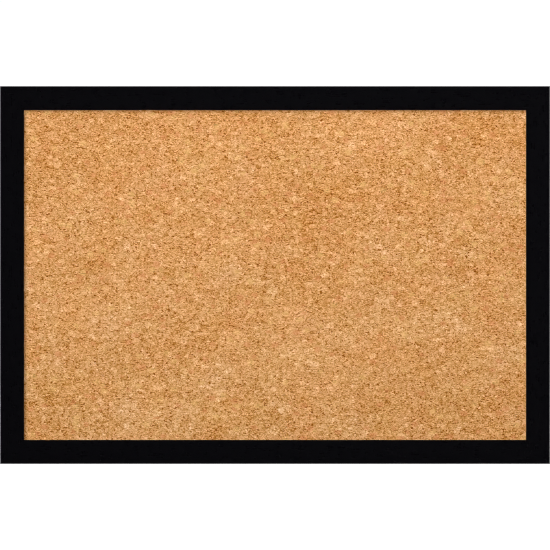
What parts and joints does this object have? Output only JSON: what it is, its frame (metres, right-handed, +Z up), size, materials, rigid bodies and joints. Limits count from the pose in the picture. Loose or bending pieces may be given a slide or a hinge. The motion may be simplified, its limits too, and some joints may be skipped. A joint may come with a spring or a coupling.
{
  "type": "cork bulletin board",
  "caption": "Wall bulletin board: mitred black wood frame around a cork pinning sheet on a softboard core, with swinging D-ring hangers and wall bumpers.",
  "frame": {"origin": "centre of the board's outline on the wall plane, which the flat tops of the bumpers touch", "axes": "+X to the right seen from the front, +Y into the wall so the cork faces -Y, +Z up"},
  "size_m": [0.4864, 0.024, 0.3342],
  "materials": {
    "black_frame": "satin",
    "cork": "matte",
    "softboard": "matte",
    "point_steel": "satin",
    "nail_steel": "satin",
    "hanger_steel": "satin",
    "ring_steel": "gloss",
    "screw_steel": "satin",
    "bumper_rubber": "matte"
  },
  "bodies": {
    "board": {"rail_top": "black_frame", "rail_bottom": "black_frame", "rail_left": "black_frame", "rail_right": "black_frame", "cork_sheet": "cork", "softboard_core": "softboard", "points_top": "point_steel", "points_bottom": "point_steel", "points_left": "point_steel", "points_right": "point_steel", "vnails_top_left": "nail_steel", "vnails_top_right": "nail_steel", "vnails_bottom_left": "nail_steel", "vnails_bottom_right": "nail_steel", "hanger_strap_left": "hanger_steel", "hanger_strap_right": "hanger_steel", "hanger_screw_left": "screw_steel", "hanger_screw_right": "screw_steel", "bumper_top_left": "bumper_rubber", "bumper_top_right": "bumper_rubber", "bumper_bottom_left": "bumper_rubber", "bumper_bottom_right": "bumper_rubber"},
    "ring_left": {"d_ring_left": "ring_steel"},
    "ring_right": {"d_ring_right": "ring_steel"}
  },
  "joints": [
    {"name": "ring_left_swing", "type": "hinge", "parent": "board", "child": "ring_left", "pos_m": [-0.23465, -0.00305, 0.1], "axis": [1, 0, 0], "range_deg": [0, 174]},
    {"name": "ring_right_swing", "type": "hinge", "parent": "board", "child": "ring_right", "pos_m": [0.23465, -0.00305, 0.1], "axis": [1, 0, 0], "range_deg": [0, 174]}
  ]
}
